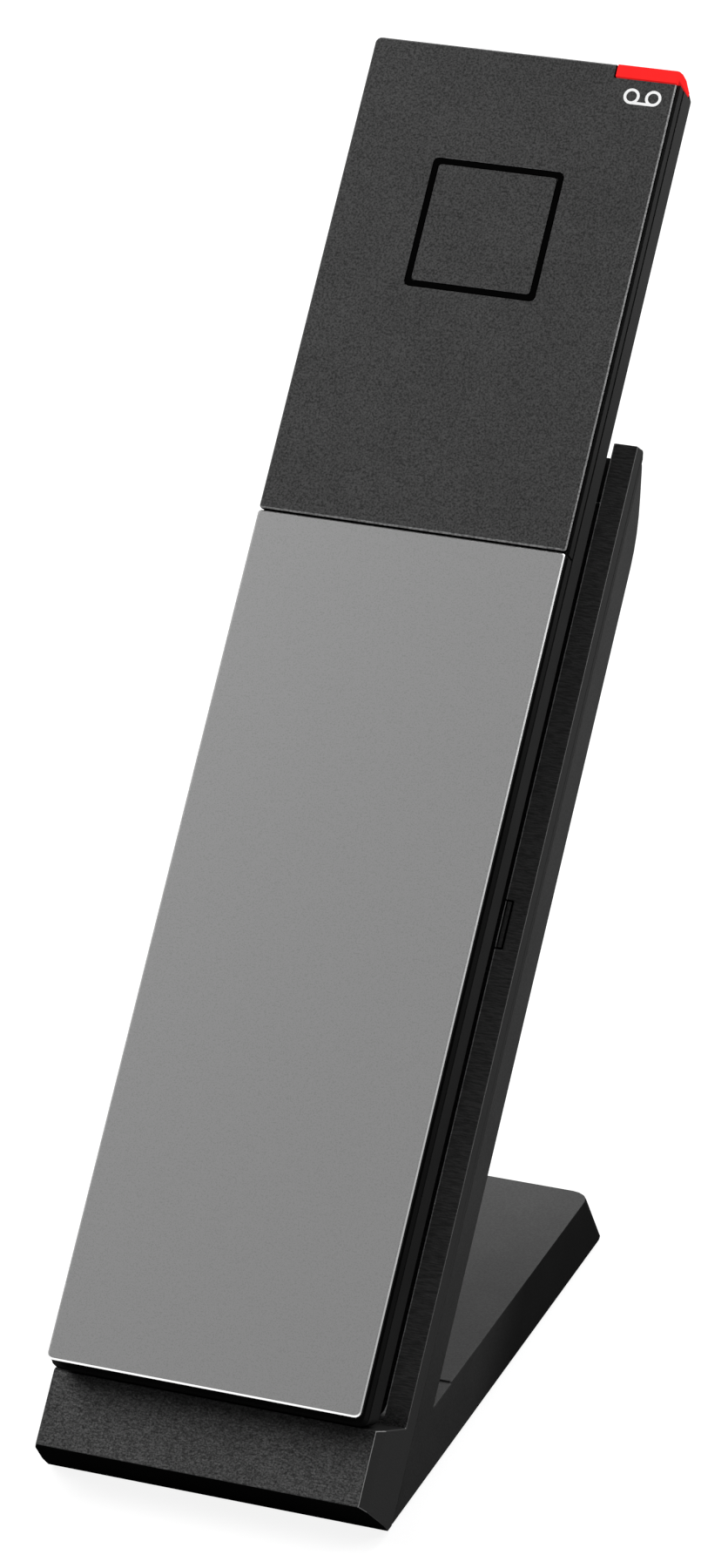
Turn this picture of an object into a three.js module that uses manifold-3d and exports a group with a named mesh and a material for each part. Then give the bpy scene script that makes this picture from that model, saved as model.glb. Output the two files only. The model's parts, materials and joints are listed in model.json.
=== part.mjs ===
// A slim cordless handset leaning in its charging cradle, as separate pieces.
// Millimetres, +Z up, +X to the right, +Y to the rear. The cradle stands on Z = 0.
// The plate frame leans back with the cradle: x as above, y into the plate, z up along it,
// with its origin at the middle of the lower edge of the handset's outer face.
import * as THREE from "three";
import { mergeVertices } from "three/addons/utils/BufferGeometryUtils.js";
import Module from "manifold-3d";

const wasm = await Module();
wasm.setup();

// ---- driving dimensions ----
const LEAN = THREE.MathUtils.degToRad(40.25); // of the plate, back from upright
const FACE_HEIGHT = 22.3; // handset face's lower edge above the surface
const SEAT = 0.3; // clearance of a piece at its seat
const PARTING = 0.2; // gap of a parting line
const SINK = 0.1; // how far joined forms run into each other
const CURVE_STEPS = 4; // segments of a quarter round
const SMALL_STEPS = 3; // the same on a key
const FINE_STEPS = 2; // the same on a slot or a fine corner
const EDGE = 0.5; // radius of a fine corner

// The handset. Depths run from its outer face, heights from its lower end.
const HANDSET = { width: 50, length: 214.6, thickness: 17.8, wall: 1.4, faceWall: 1.3 };
const PANEL = { thickness: 0.95, chamfer: 0.28, seamHeight: 135.46, seam: 0.3, corner: 1 };
const GROOVE = { width: 1.35, depth: 0.6 }; // shadow line behind the panels
const SEAM_NOTCH = 0.3; // depth of the seam where it runs on round the shell's sides
const SHELL = { parting: 4.55, side: 9.1, corner: 1.2, topCorner: 0.3 };
const CROWN = { rise: 0.35, curve: 0.052, fall: 0.32 }; // of the ends, by depth
const FLANK = { slope: 0.37, topCurve: 0.062, edge: 1, edgeInset: 0.5, faceInset: 2.2 };
const FLANK_CORNER = 0.25; // growth of the corner radii per millimetre behind the sides
const RING = { side: 21.5, bar: 1.05, sink: 0.45, corner: 0.8, fromTop: 29.5, trimShare: 0.75 };
const LENS = { width: 10, height: 2.05, wrap: 1.2, depth: 7.5, guideWidth: 4, guideDrop: 8.2 };

const CELL = { radius: 5.1, length: 44.5, count: 3, webShare: 0.9 };
const BAY = { low: 28, spare: 3.2, wall: 1.1, floor: 0.9, cellTop: 1.5 };
const BOARD = { inset: 8.5, low: 24, fromTop: 9.6, corner: 1.5, thickness: 0.8, rise: 0.3 };
const SHIELD = { inset: 4, low: 88, high: 116, height: 2.2 };
const CHIP = { width: 12, low: 124, high: 134, height: 1.2 };
const MAT = { thickness: 0.5, dome: 0.2, domeRadius: 2.6 };
const KEY = { width: 9.4, height: 7.4, corner: 2.4, proud: 0.8, travel: 0.5 };
const KEY_TOP = { shoulder: 0.4, shoulderInset: 0.25, crown: 0.12, crownInset: 0.9 };
const KEY_FLANGE = { width: 0.7, depth: 0.4 };
const KEYPAD = { columnPitch: 11.6, rowPitch: 12.4, bankGap: 15, topDialRow: 133 };
const GRILLE = { slot: 1.2, share: 0.9 };
const RECEIVER = { radius: 7, depth: 3.2, fromTop: 21.6, slots: 5 };
const RINGER = { radius: 9, depth: 4, fromTop: 43.6, slots: 4 };
const CAPSULE = { magnet: 0.6, rim: 0.85, dish: 0.4 }; // shares of the radius, and a depth
const MICROPHONE = { radius: 2.2, depth: 1.8, height: 9.5, hole: 0.7 };
const CONTACT = { spread: 8, height: 14, radius: 2.2, flange: 1, depth: 0.9, chamfer: 0.2 };
const LED = { width: 3.4, height: 2.8, depth: 1.1 };
const HANDSET_SCREWS = { inset: 5.6, low: 14, underSeam: 8.3, length: 8 };

// The cradle, whose depths and heights follow the handset that leans in it.
const LIP = { front: 6.6, low: -12, high: -0.4, sideMargin: 0.8, chamfer: 0.8, chamferDepth: 2.3 };
const RAIL = { fromKeyFace: 2.61, lap: 1.4, sideMargin: 2.5, low: 2.08, belowTop: 56.1, corner: 0.5 };
const POCKET = { clearance: 0.8, corner: 3, floorThickness: 1.6, floorBelowTop: 8.5 };
const CRADLE = { wall: 1.8, parting: 1.5, back: 8.3, frontEdge: 5.4, ground: 0.6 };
const TOP_END = { edgeBack: 3, edgeRise: 0.45, slantBack: 0.5, slantDrop: 0.2 };
const TOP_SLANT = { run: 3.9, drop: 5.9, bendRun: 10.6 };
const FOOT = { top: 11.5, rearTop: 97.3, rearBottom: 105, corner: 3, step: 0.2, stepAt: 32.6 };
const PAD = { width: 1.05, low: 76.7, high: 84, depth: 3.2, gap: 0.25, tail: 1, tailDepth: 0.9 };
const STRIP = { width: 30, height: 4, corner: 1.2, recess: 0.4, low: 32 };

const PIN = { radius: 1.1, flange: 0.6, flangeDepth: 0.5, tip: 0.22, tipShare: 0.6, travel: 0.7 };
const BLOCK = { margin: 3.5, height: 10, corner: 1, lipThickness: 0.6, backThickness: 0.4 };
const COVER = { thickness: 1.6, rear: 101.2, corner: 2 };
const RUBBER = { radius: 4, thickness: 1.4, sideInset: 8.5, beforeScrew: 12, behindScrew: 10 };
const SCREW = { shaft: 1.1, head: 2.1, headDepth: 0.8, postWall: 1.1, slot: 0.5, share: 0.6, dome: 0.8 };
const BASE_SCREWS = { sideInset: 7.1, front: 29, rear: 84, length: 6.6 };
const BALLAST = { width: 36, front: 35, rear: 65, height: 6 };
const CHARGER = { width: 34, front: 70, rear: 95.5, thickness: 1 };
const CAPACITOR = { radius: 3, height: 4.4, inset: 6 };
const REGULATOR = { side: 6, left: 2, inset: 3, height: 1.4 };
const JACK = { width: 8, height: 5.4, length: 10, socket: 1.9, pinLength: 6, nose: 2.4, noseLength: 1.4 };
const JACK_PIN = 0.65; // radius of the pin in the inlet

// ---- shared edges, worked out from the above ----
const handsetHalf = HANDSET.width / 2;
const ground = CRADLE.ground; // level of the housings' lower edges
const railFront = HANDSET.thickness - RAIL.fromKeyFace;
const railHigh = HANDSET.length - RAIL.belowTop;
const railInner = handsetHalf - RAIL.lap;
const cradleHalf = handsetHalf + RAIL.sideMargin;
const pocketFloor = HANDSET.thickness + KEY.proud + POCKET.clearance;
const floorBack = pocketFloor + POCKET.floorThickness;
const parting = HANDSET.thickness + CRADLE.parting;
const cradleBack = HANDSET.thickness + CRADLE.back;
const topEdge = [railFront + TOP_END.edgeBack, railHigh + TOP_END.edgeRise];
const slantStart = [topEdge[0] + TOP_END.slantBack, topEdge[1] - TOP_END.slantDrop];
const slantEnd = [slantStart[0] + TOP_SLANT.run, slantStart[1] - TOP_SLANT.drop];

// ---- solids ----
function solid(geometry) {
  const bare = geometry.clone();
  bare.deleteAttribute("normal");
  bare.deleteAttribute("uv");
  const merged = mergeVertices(bare, 1e-4);
  return new wasm.Manifold(
    new wasm.Mesh({
      numProp: 3,
      vertProperties: merged.attributes.position.array,
      triVerts: new Uint32Array(merged.index.array),
    }),
  );
}

function geometryOf(body) {
  const mesh = body.getMesh();
  const geometry = new THREE.BufferGeometry();
  geometry.setAttribute("position", new THREE.BufferAttribute(mesh.vertProperties, 3));
  geometry.setIndex(new THREE.BufferAttribute(mesh.triVerts, 1));
  geometry.computeVertexNormals();
  return geometry;
}

const join = (first, ...others) => others.reduce((whole, part) => whole.add(part), first);
const cut = (body, ...tools) => tools.reduce((whole, tool) => whole.subtract(tool), body);

// A slab between two depths, from an outline drawn as (x, z).
function slabY(outline, from, to) {
  const options = { depth: to - from, bevelEnabled: false };
  return solid(new THREE.ExtrudeGeometry(outline, options).rotateX(Math.PI / 2).translate(0, to, 0));
}

// A slab between two sides, from an outline drawn as (y, z).
function slabX(outline, from, to) {
  const options = { depth: to - from, bevelEnabled: false };
  const turn = new THREE.Matrix4().makeBasis(
    new THREE.Vector3(0, 1, 0),
    new THREE.Vector3(0, 0, 1),
    new THREE.Vector3(1, 0, 0),
  );
  return solid(new THREE.ExtrudeGeometry(outline, options).applyMatrix4(turn).translate(from, 0, 0));
}

// A slab between two heights, from an outline drawn as (x, y).
function slabZ(outline, from, to) {
  const options = { depth: to - from, bevelEnabled: false };
  return solid(new THREE.ExtrudeGeometry(outline, options).translate(0, 0, from));
}

function block(low, high) {
  const size = high.map((value, axis) => value - low[axis]);
  const middle = high.map((value, axis) => (value + low[axis]) / 2);
  return solid(new THREE.BoxGeometry(...size).translate(...middle));
}

// A turned piece on an axis along y; the profile is a list of (radius, y).
function turnedY(profile, x, z, sides = 4 * CURVE_STEPS) {
  const points = profile.map(([radius, y]) => new THREE.Vector2(radius, y));
  return solid(new THREE.LatheGeometry(points, sides).translate(x, 0, z));
}

// A turned piece on an axis along z; the profile is a list of (radius, z).
function turnedZ(profile, x, y, sides = 4 * CURVE_STEPS) {
  const points = profile.map(([radius, z]) => new THREE.Vector2(radius, z));
  return solid(new THREE.LatheGeometry(points, sides).rotateX(Math.PI / 2).translate(x, y, 0));
}

const rodY = (radius, from, to, x, z, sides) =>
  turnedY([[0, from], [radius, from], [radius, to], [0, to]], x, z, sides);
const rodZ = (radius, from, to, x, y, sides) =>
  turnedZ([[0, from], [radius, from], [radius, to], [0, to]], x, y, sides);

function polygon(points) {
  return new THREE.Shape(points.map(([a, b]) => new THREE.Vector2(a, b)));
}

// The points of a rectangle with rounded corners, whose lower and upper radii may differ.
function roundedPoints({ left, right, low, high, lowCorner, highCorner = lowCorner, steps = CURVE_STEPS }) {
  const corners = [
    [right - lowCorner, low + lowCorner, lowCorner, 3],
    [right - highCorner, high - highCorner, highCorner, 0],
    [left + highCorner, high - highCorner, highCorner, 1],
    [left + lowCorner, low + lowCorner, lowCorner, 2],
  ];
  return corners.flatMap(([x, z, radius, quarter]) =>
    Array.from({ length: steps + 1 }, (_, step) => {
      const angle = (quarter + step / steps) * (Math.PI / 2);
      return [x + radius * Math.cos(angle), z + radius * Math.sin(angle)];
    }),
  );
}

function roundedRect(left, right, low, high, corner, steps) {
  return polygon(roundedPoints({ left, right, low, high, lowCorner: corner, steps }));
}

// One ring of a loft: the same outline, centred in x.
const ringPoints = ({ half, ...rest }) => roundedPoints({ left: -half, right: half, ...rest });

// Closes rings of points, stacked from front to back, into one solid.
function stack(rings) {
  const count = rings[0].length;
  const positions = rings.flat(2);
  const faces = [];
  for (let level = 0; level + 1 < rings.length; level++) {
    for (let i = 0; i < count; i++) {
      const next = (i + 1) % count;
      const [a, b] = [level * count + i, level * count + next];
      const [c, d] = [b + count, a + count];
      faces.push(a, d, c, a, c, b);
    }
  }
  const last = (rings.length - 1) * count;
  for (let i = 1; i + 1 < count; i++) {
    faces.push(0, i, i + 1, last, last + i + 1, last + i);
  }
  const geometry = new THREE.BufferGeometry();
  geometry.setAttribute("position", new THREE.Float32BufferAttribute(positions, 3));
  geometry.setIndex(faces);
  return solid(geometry);
}

// A moulded form through stations along y, each a rounded rectangle in x and z.
function loftY(stations) {
  return stack(stations.map((station) => ringPoints(station).map(([x, z]) => [x, station.y, z])));
}

// ---- the plate frame and the cradle's outlines ----
const PLATE = new THREE.Matrix4().makeRotationX(-LEAN).setPosition(0, 0, FACE_HEIGHT);

// Where a point (y, z) of the plate frame stands, as (Y, Z) of the cradle.
function fromPlate([y, z]) {
  const point = new THREE.Vector3(0, y, z).applyMatrix4(PLATE);
  return [point.y, point.z];
}

function toPlate([y, z]) {
  const point = new THREE.Vector3(0, y, z).applyMatrix4(PLATE.clone().invert());
  return [point.y, point.z];
}

const inPlate = (body) => solid(geometryOf(body).applyMatrix4(PLATE));

const frontCorner = toPlate([CRADLE.frontEdge, ground]);

// Height along the plate where a given depth meets the level that the housings stand at.
function plateHeightAtLevel(depth, level) {
  return (level - FACE_HEIGHT + depth * Math.sin(LEAN)) / Math.cos(LEAN);
}

// How far back the parting between the two housings stands at a level.
const partingAt = (level) => fromPlate([parting, plateHeightAtLevel(parting, level)])[0];

const shelfSlope = (RAIL.low - LIP.high) / (railFront - LIP.front);
const shelfAt = (y) => LIP.high + shelfSlope * (y - LIP.front);
const undercutSlope = (frontCorner[1] - LIP.low) / (frontCorner[0] - LIP.front);
const undercutAt = (y) => LIP.low + undercutSlope * (y - LIP.front);

// Height of the slanted back of the top end at a depth.
const slantAt = (y) => slantStart[1] - (TOP_SLANT.drop * (y - slantStart[0])) / TOP_SLANT.run;

// The back of the top end: a straight slant that bends into the plate's back.
function slantCurve(inset) {
  const [endY, endZ] = slantEnd;
  const back = cradleBack - inset;
  const curve = new THREE.QuadraticBezierCurve(
    new THREE.Vector2(endY - inset, endZ - inset),
    new THREE.Vector2(back, slantAt(cradleBack) - inset),
    new THREE.Vector2(back, endZ - TOP_SLANT.bendRun - inset),
  );
  return curve.getPoints(CURVE_STEPS).map((point) => point.toArray());
}

// ---- cradle ----
// The front moulding's outline from the side: undercut, lip, shelf, rail and top end.
function frontSide() {
  return polygon([
    [LIP.front, LIP.low],
    frontCorner,
    [parting, plateHeightAtLevel(parting, ground)],
    [parting, slantAt(parting)],
    slantStart,
    topEdge,
    [railFront, railHigh],
    [railFront, RAIL.low],
    [LIP.front, LIP.high],
  ]);
}

// Its outline from above the lip: the sides draw in towards the front, with a chamfered edge.
function frontPlan() {
  const lipHalf = handsetHalf + LIP.sideMargin;
  const side = [
    [lipHalf, LIP.front],
    [lipHalf + LIP.chamfer, LIP.front + LIP.chamferDepth],
    [cradleHalf, railFront],
    [cradleHalf, cradleBack],
  ];
  const mirrored = side.map(([x, y]) => [-x, y]).reverse();
  return polygon([...side, ...mirrored]);
}

// Its outline from the front stands a little proud, and so cuts only the rails' upper corners.
function frontFace() {
  const ends = { low: LIP.low - cradleHalf, high: topEdge[1] + SINK };
  return polygon(ringPoints({ half: cradleHalf + SINK, ...ends, lowCorner: EDGE, highCorner: RAIL.corner }));
}

function cradleFront() {
  const plan = slabZ(frontPlan(), LIP.low - cradleHalf, railHigh + cradleHalf);
  const face = slabY(frontFace(), LIP.front, cradleBack);
  const outer = slabX(frontSide(), -cradleHalf, cradleHalf).intersect(plan).intersect(face);
  const pinHoles = [-1, 1].map((side) =>
    rodY(PIN.radius + SEAT, railFront, floorBack + SEAT, side * CONTACT.spread, CONTACT.height),
  );
  const recesses = stripHeights().map((height) =>
    slabY(stripOutline(height, SEAT), railFront, pocketFloor + STRIP.recess),
  );
  const slots = [padSlot(-1), padSlot(1)];
  return inPlate(cut(outer.add(floorPlate()), pocket(), lipHollow(), ...slots, ...pinHoles, ...recesses));
}

// The plate between the rails, which reaches into the rear housing.
function floorPlate() {
  const half = cradleHalf - CRADLE.wall - SEAT;
  const low = shelfAt(floorBack) - CRADLE.wall;
  return block([-half, parting - PARTING, low], [half, floorBack, railHigh - POCKET.floorBelowTop]);
}

// Rubber strips in the pocket's floor, which the handset's key face rests on: one below
// the keypad and one between its upper row and the dial keys.
const stripHeights = () => [STRIP.low, (upperRow + KEYPAD.topDialRow) / 2];

function stripOutline(middle, grow) {
  const half = STRIP.width / 2 + grow;
  const reach = STRIP.height / 2 + grow;
  return roundedRect(-half, half, middle - reach, middle + reach, STRIP.corner + grow, FINE_STEPS);
}

function restStrip(height) {
  return slabY(stripOutline(height, 0), HANDSET.thickness + SEAT, pocketFloor + STRIP.recess - SEAT);
}

// The space for the handset between the rails, whose lower end follows the shelf.
function pocket() {
  const high = railHigh + cradleBack;
  const side = polygon([
    [LIP.front, shelfAt(LIP.front)],
    [pocketFloor, shelfAt(pocketFloor)],
    [pocketFloor, high],
    [LIP.front, high],
  ]);
  const opening = roundedRect(-railInner, railInner, shelfAt(railFront), high, POCKET.corner);
  return slabX(side, -railInner, railInner).intersect(slabY(opening, LIP.front, cradleBack));
}

function lipHollow() {
  const { wall } = CRADLE;
  const half = handsetHalf + LIP.sideMargin - wall;
  const front = LIP.front + wall;
  const side = polygon([
    [front, undercutAt(front) + wall],
    [cradleBack, undercutAt(cradleBack) + wall],
    [cradleBack, shelfAt(pocketFloor) - wall],
    [pocketFloor, shelfAt(pocketFloor) - wall],
    [front, shelfAt(front) - wall],
  ]);
  return slabX(side, -half, half);
}

// A retention pad's outline from its end: a strip along the rail's inner edge with a tail
// that keeps it in. Its slot is the same outline, grown by a gap and open to the pocket.
function padOutline(gap, mouth) {
  const outer = railInner + PAD.width + gap;
  const back = railFront + PAD.depth;
  const tailFront = back - PAD.tailDepth - gap;
  return polygon([
    [railInner - mouth, railFront - mouth],
    [outer, railFront - mouth],
    [outer, tailFront],
    [outer + PAD.tail, tailFront],
    [outer + PAD.tail, back + gap],
    [railInner - mouth, back + gap],
  ]);
}

const mirrorTo = (side, body) => (side < 0 ? body.mirror([1, 0, 0]) : body);

function padSlot(side) {
  const outline = padOutline(PAD.gap, PAD.width);
  return mirrorTo(side, slabZ(outline, PAD.low - PAD.gap, PAD.high + PAD.gap));
}

const retentionPad = (side) => mirrorTo(side, slabZ(padOutline(0, 0), PAD.low, PAD.high));

// The leaning back of the rear housing, from the side.
function plateSide() {
  const front = parting + PARTING;
  return polygon([
    [front, plateHeightAtLevel(front, ground)],
    [cradleBack, plateHeightAtLevel(cradleBack, ground)],
    ...slantCurve(0).reverse(),
    [front, slantAt(front)],
  ]);
}

function plateHollow() {
  const { wall } = CRADLE;
  const front = parting - PARTING;
  const low = plateHeightAtLevel(cradleBack, ground) - wall;
  const back = [[cradleBack - wall, low], ...slantCurve(wall).reverse()];
  const side = polygon([[front, low], ...back, [front, slantEnd[1] - wall]]);
  return inPlate(slabX(side, wall - cradleHalf, cradleHalf - wall));
}

// The foot: a flat slab with a sloped rear end and rounded rear corners.
function footSlab(inset, bottom) {
  const run = (FOOT.rearBottom - FOOT.rearTop) / (FOOT.top - ground);
  const rearAt = (z) => FOOT.rearTop - inset + run * (FOOT.top - z);
  const ring = (z) => {
    const ends = { low: 0, high: rearAt(z), lowCorner: EDGE, highCorner: FOOT.corner };
    const shape = { half: cradleHalf - inset, ...ends };
    return ringPoints(shape).map(([x, y]) => [x, y, z]).reverse();
  };
  return stack([ring(bottom), ring(FOOT.top - inset)]);
}

function behindParting() {
  const reach = FOOT.rearBottom * 2;
  return inPlate(block([-reach, parting + PARTING, -reach], [reach, reach, reach]));
}

function baseScrewPlaces() {
  const x = cradleHalf - BASE_SCREWS.sideInset;
  return [BASE_SCREWS.front, BASE_SCREWS.rear].flatMap((y) => [-1, 1].map((side) => [side * x, y]));
}

function cradleRear() {
  const { wall } = CRADLE;
  const plate = inPlate(slabX(plateSide(), -cradleHalf, cradleHalf));
  const foot = footSlab(0, ground).intersect(behindParting());
  const shell = cut(plate.add(foot), plateHollow(), footSlab(wall, ground - wall));
  const postLow = inside();
  const postRadius = SCREW.head + SCREW.postWall;
  const pilotHigh = ground + SCREW.headDepth + BASE_SCREWS.length + SEAT;
  const posts = baseScrewPlaces().map(([x, y]) => rodZ(postRadius, postLow, FOOT.top - wall / 2, x, y));
  const pilots = baseScrewPlaces().map(([x, y]) => rodZ(SCREW.shaft + SEAT, ground, pilotHigh, x, y));
  const inlet = rodY(JACK.nose + SEAT, FOOT.rearTop - wall, FOOT.rearBottom + wall, 0, jackHeight());
  return cut(join(shell, ...posts), ...pilots, inlet, footStepCut());
}

// The foot's top drops by a fine step near the plate.
function footStepCut() {
  const half = cradleHalf + CRADLE.wall;
  const start = fromPlate([cradleBack, plateHeightAtLevel(cradleBack, FOOT.top)])[0];
  const side = polygon([
    [start, FOOT.top - FOOT.step],
    [FOOT.stepAt, FOOT.top - FOOT.step],
    [FOOT.stepAt, FOOT.top + FOOT.step],
    [start + FOOT.step, FOOT.top + FOOT.step],
  ]);
  return slabX(side, -half, half);
}

function bottomCover() {
  const half = cradleHalf - CRADLE.wall - SEAT;
  const top = ground + COVER.thickness;
  const outline = roundedRect(-half, half, partingAt(top) + 2 * SEAT, COVER.rear, COVER.corner);
  const recesses = rubberPlaces().map(([x, y]) =>
    rodZ(RUBBER.radius + SEAT, ground - SEAT, RUBBER.thickness + SEAT, x, y),
  );
  const screwHoles = baseScrewPlaces().map(([x, y]) =>
    join(
      rodZ(SCREW.shaft + SEAT, ground, top + SEAT, x, y),
      rodZ(SCREW.head + SEAT, ground - SEAT, ground + SCREW.headDepth, x, y),
    ),
  );
  return cut(slabZ(outline, ground, top), ...recesses, ...screwHoles);
}

function rubberPlaces() {
  const x = cradleHalf - RUBBER.sideInset;
  const depths = [BASE_SCREWS.front - RUBBER.beforeScrew, BASE_SCREWS.rear + RUBBER.behindScrew];
  return depths.flatMap((y) => [-1, 1].map((side) => [side * x, y]));
}

// A glued-on foot, which stands out below the housings with a chamfered edge.
function rubberFoot([x, y]) {
  const { radius, thickness } = RUBBER;
  const chamfer = ground / 2;
  const profile = [[0, 0], [radius - chamfer, 0], [radius, chamfer], [radius, thickness], [0, thickness]];
  return turnedZ(profile, x, y);
}

const inside = () => ground + COVER.thickness + SEAT;
const jackHeight = () => inside() + CHARGER.thickness + SEAT + JACK.height / 2;

function ballast() {
  const half = BALLAST.width / 2;
  const outline = roundedRect(-half, half, BALLAST.front, BALLAST.rear, 2 * COVER.corner);
  return slabZ(outline, inside(), inside() + BALLAST.height);
}

function chargingBoard() {
  const half = CHARGER.width / 2;
  const top = inside() + CHARGER.thickness;
  const outline = roundedRect(-half, half, CHARGER.front, CHARGER.rear, COVER.corner / 2);
  const capacitorAt = [-half / 2, CHARGER.front + CAPACITOR.inset];
  const { side, left, inset, height } = REGULATOR;
  const regulatorFront = CHARGER.front + inset;
  return join(
    slabZ(outline, inside(), top),
    rodZ(CAPACITOR.radius, top - SINK, top + CAPACITOR.height, ...capacitorAt),
    block([left, regulatorFront, top - SINK], [left + side, regulatorFront + side, top + height]),
  );
}

// The power inlet: its nose reaches the hole in the foot's sloped end.
function inletJack() {
  const z = jackHeight();
  const rear = CHARGER.rear - SEAT;
  const half = JACK.width / 2;
  const low = [-half, rear - JACK.length, z - JACK.height / 2];
  const high = [half, rear, z + JACK.height / 2];
  const noseEnd = rear + JACK.noseLength;
  const body = block(low, high).add(rodY(JACK.nose, rear - SEAT, noseEnd, 0, z));
  const socket = rodY(JACK.socket, noseEnd - JACK.length, noseEnd + SEAT, 0, z);
  const pin = rodY(JACK_PIN, noseEnd - JACK.length - SEAT, noseEnd - JACK.length + JACK.pinLength, 0, z);
  return body.subtract(socket).add(pin);
}

// The holder of the two sprung pins, behind the pocket's floor.
const blockFront = floorBack + SEAT;
const chamberFront = blockFront + BLOCK.lipThickness;
const flangeBack = chamberFront + SEAT + PIN.flangeDepth;
const chamberBack = flangeBack + PIN.travel + SEAT;

function contactBlock() {
  const half = CONTACT.spread + BLOCK.margin;
  const low = CONTACT.height - BLOCK.height / 2;
  const outline = roundedRect(-half, half, low, low + BLOCK.height, BLOCK.corner);
  const chambers = [-1, 1].map((side) => {
    const x = side * CONTACT.spread;
    const mouth = rodY(PIN.radius + SEAT, blockFront - SEAT, chamberBack, x, CONTACT.height);
    return mouth.add(rodY(PIN.radius + PIN.flange + SEAT, chamberFront, chamberBack, x, CONTACT.height));
  });
  return cut(slabY(outline, blockFront, chamberBack + BLOCK.backThickness), ...chambers);
}

function chargingPin(side) {
  const tip = HANDSET.thickness + SEAT;
  const { radius, flange, flangeDepth } = PIN;
  const profile = [
    [0, tip],
    [radius * PIN.tipShare, tip + PIN.tip],
    [radius, tip + radius],
    [radius, flangeBack - flangeDepth],
    [radius + flange, flangeBack - flangeDepth],
    [radius + flange, flangeBack],
    [0, flangeBack],
  ];
  return turnedY(profile, side * CONTACT.spread, CONTACT.height);
}

// A screw along y or z with a cross slot in its head; the head starts at the given place.
function screw(turned, head, length, x, across) {
  const { shaft, head: radius, headDepth } = SCREW;
  const end = head + headDepth + length;
  const profile = [
    [0, head],
    [radius * SCREW.dome, head],
    [radius, head + headDepth / 2],
    [radius, head + headDepth],
    [shaft, head + headDepth],
    [shaft, end - shaft],
    [0, end],
  ];
  return turned(profile, x, across, 2 * CURVE_STEPS).subtract(crossSlot(turned, head, x, across));
}

function crossSlot(turned, head, x, across) {
  const { slot } = SCREW;
  const reach = SCREW.head * SCREW.share;
  const bar = (wide, long) =>
    turned === turnedY
      ? block([x - wide, head - slot, across - long], [x + wide, head + slot, across + long])
      : block([x - wide, across - long, head - slot], [x + wide, across + long, head + slot]);
  return bar(slot / 2, reach).add(bar(reach, slot / 2));
}

// ---- handset ----
const faceBack = PANEL.thickness + PARTING;
const rimFront = PANEL.thickness + GROOVE.width;
const lensLow = HANDSET.length - LENS.height;
const wrapLow = HANDSET.length - LENS.wrap;
const lensLeft = handsetHalf - LENS.width;
const guideLeft = handsetHalf - 2 * LENS.guideWidth;
const guideLow = lensLow - LENS.guideDrop;
const guideFront = rimFront + HANDSET.wall + SEAT;

// How far the handset's rounded ends stand out past its face's ends at a depth.
function crownAt(depth) {
  const front = Math.min(depth, SHELL.parting);
  const behind = Math.max(depth - SHELL.parting, 0);
  return CROWN.rise * front - CROWN.curve * front ** 2 - CROWN.fall * behind;
}

// The handset's outline at a depth in front of its parting.
function crownedStation(y) {
  const ends = { low: -crownAt(y), high: HANDSET.length + crownAt(y) };
  return { y, half: handsetHalf, ...ends, lowCorner: SHELL.corner, highCorner: SHELL.topCorner };
}

// A face panel: a thin plate with a fine chamfer round its outer edge.
function panel(low, high, lowCorner, highCorner) {
  const { chamfer, thickness } = PANEL;
  const station = (y, inset) => ({
    y,
    half: handsetHalf - inset,
    low: low + inset,
    high: high - inset,
    lowCorner: lowCorner - inset,
    highCorner: highCorner - inset,
  });
  return loftY([station(0, chamfer), station(chamfer, 0), station(thickness, 0)]);
}

function upperPanel() {
  const low = PANEL.seamHeight + PANEL.seam / 2;
  const body = panel(low, HANDSET.length, EDGE, PANEL.corner);
  return cut(body, lensSpace(PARTING), ringBar(0, -PARTING, RING.sink));
}

function batteryCover() {
  const high = PANEL.seamHeight - PANEL.seam / 2;
  const ribBack = BAY.cellTop - SEAT + PANEL.chamfer;
  const ribHalf = bayHalf() - SEAT;
  const rib = (z) => block([-ribHalf, PANEL.thickness - SEAT, z], [ribHalf, ribBack, z + BAY.wall]);
  const ribs = [BAY.low + SEAT, bayHigh() - SEAT - BAY.wall].map(rib);
  return join(panel(0, high, PANEL.corner, EDGE), ...ribs);
}

// The square ring's bar between two depths; the trim keeps it clear of its groove.
function ringBar(trim, from, to) {
  const outer = RING.side / 2 - trim;
  const inner = RING.side / 2 - RING.bar + trim;
  const middle = HANDSET.length - RING.fromTop;
  const square = (reach, corner) =>
    roundedRect(-reach, reach, middle - reach, middle + reach, corner, FINE_STEPS);
  const outline = square(outer, RING.corner - trim);
  outline.holes.push(square(inner, EDGE));
  return slabY(outline, from, to);
}

const squareRing = () => ringBar(PARTING * RING.trimShare, 0, RING.sink - PARTING);

// The place of the lamp lens at the top right corner, widened by a gap: its window in the
// face, the lower band that wraps back over the shells, and the light guide behind the face.
function lensSpace(gap) {
  const reach = 2 * LENS.height;
  const layer = (low, back) =>
    block([lensLeft - gap, -reach, low - gap], [handsetHalf + reach, back + gap, HANDSET.length + reach]);
  const guide = block(
    [guideLeft - gap, guideFront - gap, guideLow - gap],
    [guideLeft + LENS.guideWidth + gap, LENS.depth - SEAT + gap, wrapLow + SINK],
  );
  return join(layer(lensLow, PANEL.thickness), layer(wrapLow, LENS.depth), guide);
}

// The lens wraps the corner; its light guide leads down and back to the lamp on the board.
function lampLens() {
  const depths = [0, PANEL.thickness, rimFront, SHELL.parting, LENS.depth];
  const tip = boardFront() - LED.depth - SEAT;
  return join(
    loftY(depths.map(crownedStation)).intersect(lensSpace(0)),
    block([guideLeft, guideFront, guideLow], [guideLeft + LENS.guideWidth, tip, guideLow + LENS.guideWidth]),
  );
}

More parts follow.
